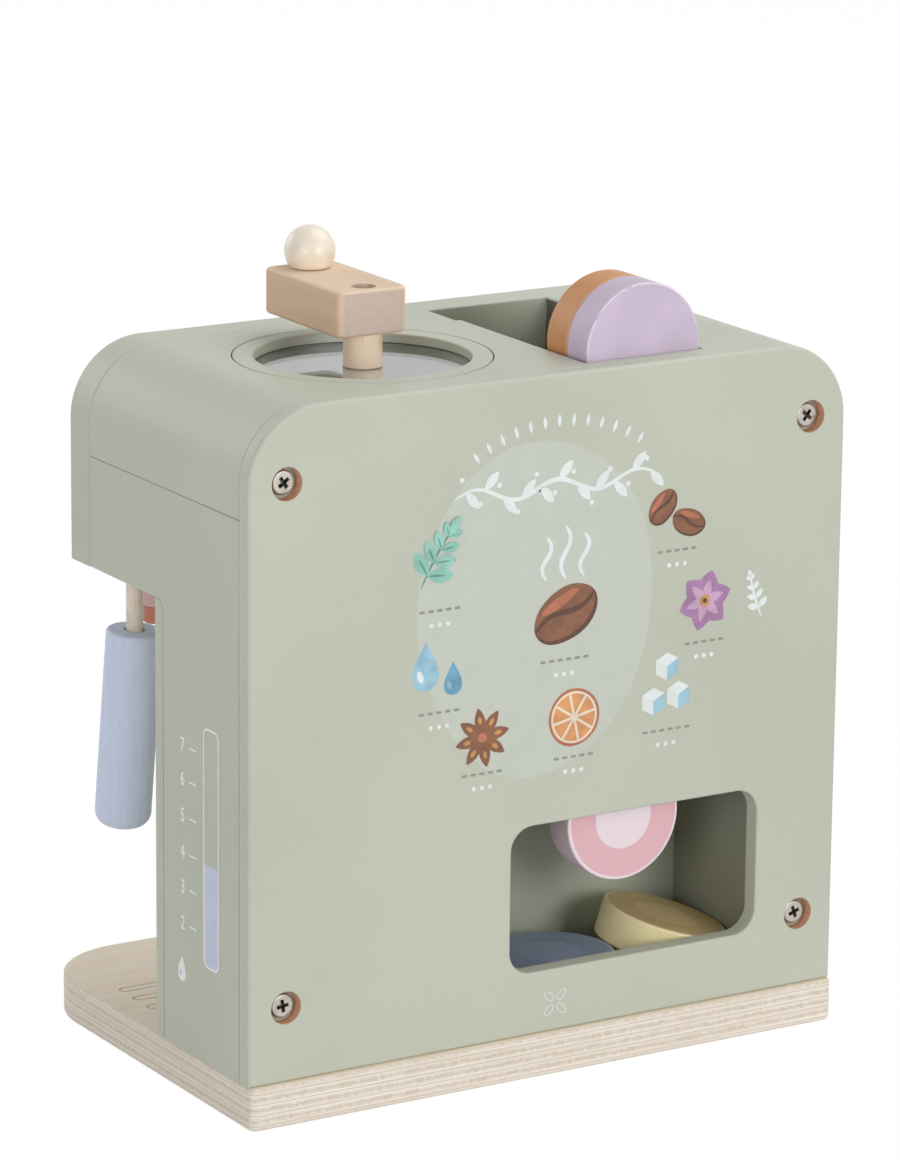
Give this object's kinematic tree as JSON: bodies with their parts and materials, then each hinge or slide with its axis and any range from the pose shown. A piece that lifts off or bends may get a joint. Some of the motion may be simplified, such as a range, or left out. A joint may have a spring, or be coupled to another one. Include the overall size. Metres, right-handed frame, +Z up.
{
  "type": "toy coffee maker",
  "caption": "Wooden play coffee maker: a head on a column over a plywood base, with a grinder crank, a pod tray, a steam wand on a rope and a rear window for used pods.",
  "frame": {"origin": "on the table, under the middle of the base board", "axes": "+Z up; +Y to the rear, where the window is; -Y to the side a child plays at; +X to the side with the steam wand and the level scale"},
  "size_m": [0.22, 0.15, 0.266],
  "materials": {
    "sage_paint": "matt sage paint on fibreboard",
    "plywood": "clear matt lacquer on birch plywood",
    "beech": "sanded beech",
    "maple": "satin lacquer on pale turned wood",
    "steel": "nickel-plated screws",
    "clear_acrylic": "clear, glossy",
    "lilac_paint": "matt paint",
    "tan_paint": "matt paint",
    "pink_paint": "matt paint",
    "yellow_paint": "matt paint",
    "navy_paint": "matt paint",
    "blue_paint": "matt paint",
    "rose_paint": "matt paint",
    "terracotta_paint": "matt paint",
    "rope": "braided cotton rope"
  },
  "bodies": {
    "root": {"base_board": "plywood", "back_panel": "sage_paint", "front_panel": "sage_paint", "side_board_right": "sage_paint", "side_board_left": "sage_paint", "column_front_board": "sage_paint", "top_cover": "sage_paint", "head_floor": "sage_paint", "base_cleats": "beech", "base_screws": "steel", "panel_dowels": "beech", "panel_screws": "steel", "compartment_floor": "sage_paint", "compartment_wall_inner": "sage_paint", "compartment_wall_outer": "sage_paint", "compartment_ceiling": "sage_paint", "pod_peg": "beech", "tray_floor": "sage_paint", "tray_rail_inner": "sage_paint", "tray_rail_outer": "sage_paint", "tray_end": "sage_paint", "grinder_ring": "sage_paint", "grinder_window": "clear_acrylic", "grinder_well": "sage_paint", "spout_block": "rose_paint", "spout_nozzle": "terracotta_paint"},
    "crank": {"crank_shaft": "beech", "crank_arm": "beech", "crank_screw": "steel", "crank_knob": "maple", "knob_pin": "beech", "shaft_washer": "steel", "shaft_screw": "steel"},
    "selector": {"selector_knob": "rose_paint", "selector_shaft": "beech", "selector_collar": "beech"},
    "rope_anchor": {"rope_top": "rope", "rope_knot": "rope"},
    "wand": {"wand_rope": "rope", "wand_handle": "blue_paint"},
    "lilac": {"pod_lilac": "lilac_paint"},
    "tan": {"pod_tan": "tan_paint"},
    "pink": {"pod_pink": "pink_paint"},
    "yellow": {"pod_yellow": "yellow_paint"},
    "navy": {"pod_navy": "navy_paint"}
  },
  "joints": [
    {"name": "crank_turn", "type": "hinge", "parent": "root", "child": "crank", "pos_m": [0.0387, 0.019, 0.23], "axis": [0, 0, 1], "continuous": true},
    {"name": "selector_turn", "type": "hinge", "parent": "root", "child": "selector", "pos_m": [0, -0.045, 0.194], "axis": [0, -1, 0], "continuous": true},
    {"name": "wand_turn", "type": "hinge", "parent": "root", "child": "rope_anchor", "pos_m": [0.097, -0.0255, 0.1585], "axis": [0, 0, 1], "range_deg": [-90, 90]},
    {"name": "wand_swing", "type": "hinge", "parent": "rope_anchor", "child": "wand", "pos_m": [0.097, -0.0255, 0.1555], "axis": [-1, 0, 0], "range_deg": [-10, 40]},
    {"name": "lilac_lift", "type": "slide", "parent": "root", "child": "lilac", "axis": [0, 0, 1], "range_m": [0, 0.06]},
    {"name": "tan_lift", "type": "slide", "parent": "root", "child": "tan", "axis": [0, 0, 1], "range_m": [0, 0.06]},
    {"name": "pink_pull", "type": "slide", "parent": "root", "child": "pink", "axis": [0, 1, 0], "range_m": [0, 0.011]},
    {"name": "yellow_lift", "type": "slide", "parent": "root", "child": "yellow", "axis": [0, 0, 1], "range_m": [0, 0.008]},
    {"name": "navy_slide", "type": "slide", "parent": "root", "child": "navy", "axis": [0, -1, 0], "range_m": [0, 0.0055]}
  ]
}
